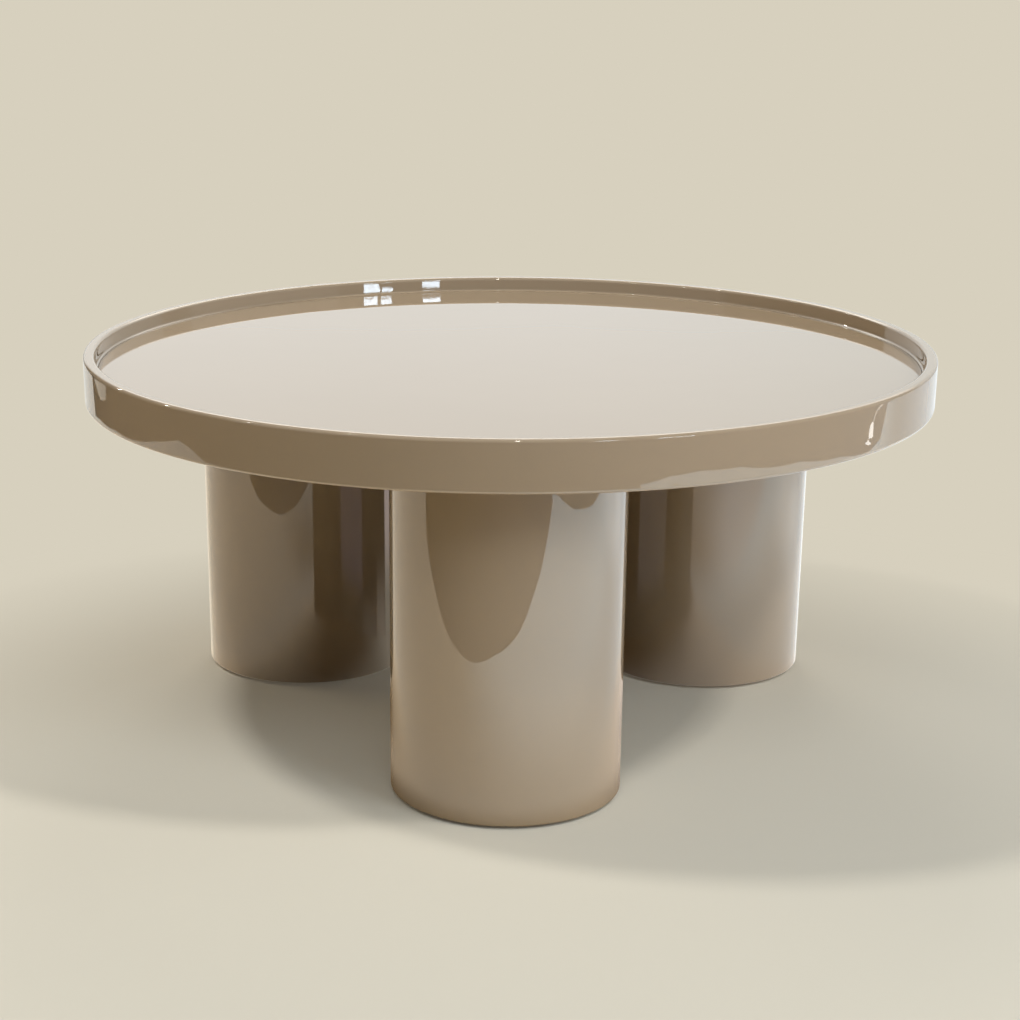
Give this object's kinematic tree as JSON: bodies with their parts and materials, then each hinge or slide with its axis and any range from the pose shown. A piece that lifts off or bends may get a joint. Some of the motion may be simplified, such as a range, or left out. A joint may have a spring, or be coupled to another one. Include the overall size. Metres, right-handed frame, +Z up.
{
  "type": "cocktail table",
  "caption": "Round cocktail table: a shallow tray top with a raised rim on hollow drum legs set in a triangle, all in glossy taupe lacquer.",
  "frame": {"origin": "on the floor under the middle of the top", "axes": "+Z up; -Y towards the front leg; +X to the right when the front leg faces the viewer"},
  "size_m": [0.914, 0.914, 0.406],
  "materials": {
    "taupe_lacquer": "high-gloss polyester lacquer over fibreboard, rubbed and polished",
    "sealed_underside": "satin sealing coat over fibreboard",
    "birch_plywood": "sanded, unfinished",
    "black_steel": "black oxide",
    "zinc_steel": "bright zinc plate",
    "glide_nylon": "moulded dark brown nylon"
  },
  "bodies": {
    "root": {"rim_hoop": "taupe_lacquer", "tray_panel": "taupe_lacquer", "under_panel": "sealed_underside", "leg_drum_front": "taupe_lacquer", "leg_top_block_front": "birch_plywood", "leg_base_ring_front": "birch_plywood", "leg_bolts_front": "black_steel", "leg_flat_washers_front": "zinc_steel", "leg_spring_washers_front": "zinc_steel", "leg_inserts_front": "zinc_steel", "leg_glides_front": "glide_nylon", "glide_nails_front": "zinc_steel", "leg_drum_rear_right": "taupe_lacquer", "leg_top_block_rear_right": "birch_plywood", "leg_base_ring_rear_right": "birch_plywood", "leg_bolts_rear_right": "black_steel", "leg_flat_washers_rear_right": "zinc_steel", "leg_spring_washers_rear_right": "zinc_steel", "leg_inserts_rear_right": "zinc_steel", "leg_glides_rear_right": "glide_nylon", "glide_nails_rear_right": "zinc_steel", "leg_drum_rear_left": "taupe_lacquer", "leg_top_block_rear_left": "birch_plywood", "leg_base_ring_rear_left": "birch_plywood", "leg_bolts_rear_left": "black_steel", "leg_flat_washers_rear_left": "zinc_steel", "leg_spring_washers_rear_left": "zinc_steel", "leg_inserts_rear_left": "zinc_steel", "leg_glides_rear_left": "glide_nylon", "glide_nails_rear_left": "zinc_steel"}
  },
  "joints": []
}
